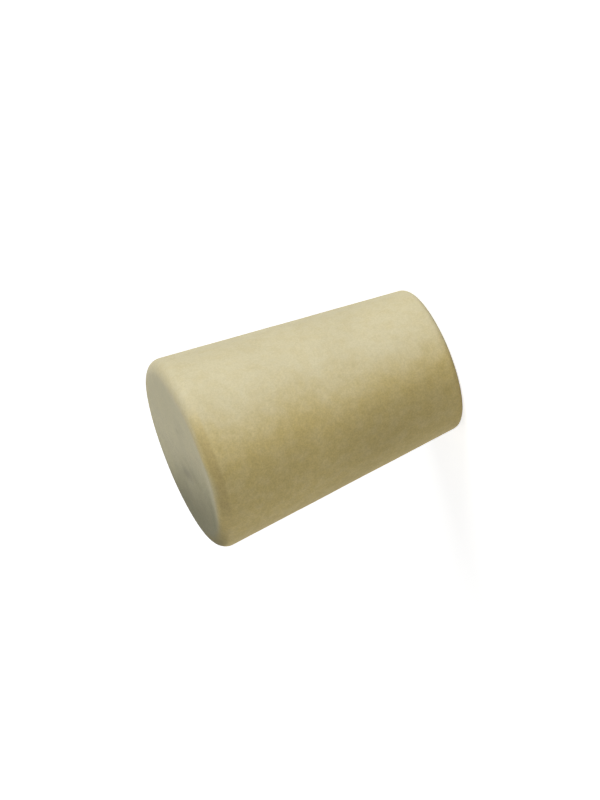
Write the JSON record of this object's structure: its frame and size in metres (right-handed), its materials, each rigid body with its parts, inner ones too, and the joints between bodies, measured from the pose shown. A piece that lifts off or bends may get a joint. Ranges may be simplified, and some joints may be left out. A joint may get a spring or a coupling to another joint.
{
  "type": "rubber plug",
  "caption": "Solid round tapered rubber stopper with flat ends and rounded edges, pressed narrow end first into a tube or hole to seal it.",
  "frame": {"origin": "centre of the narrow flat end, on the surface that the plug stands on", "axes": "+Z along the plug's axis, from the narrow end to the wide end; the plug is round, so +X and +Y are any two square directions across it"},
  "size_m": [0.0188, 0.0188, 0.026],
  "materials": {
    "rubber": "matte"
  },
  "bodies": {
    "root": {"stopper": "rubber"}
  },
  "joints": []
}
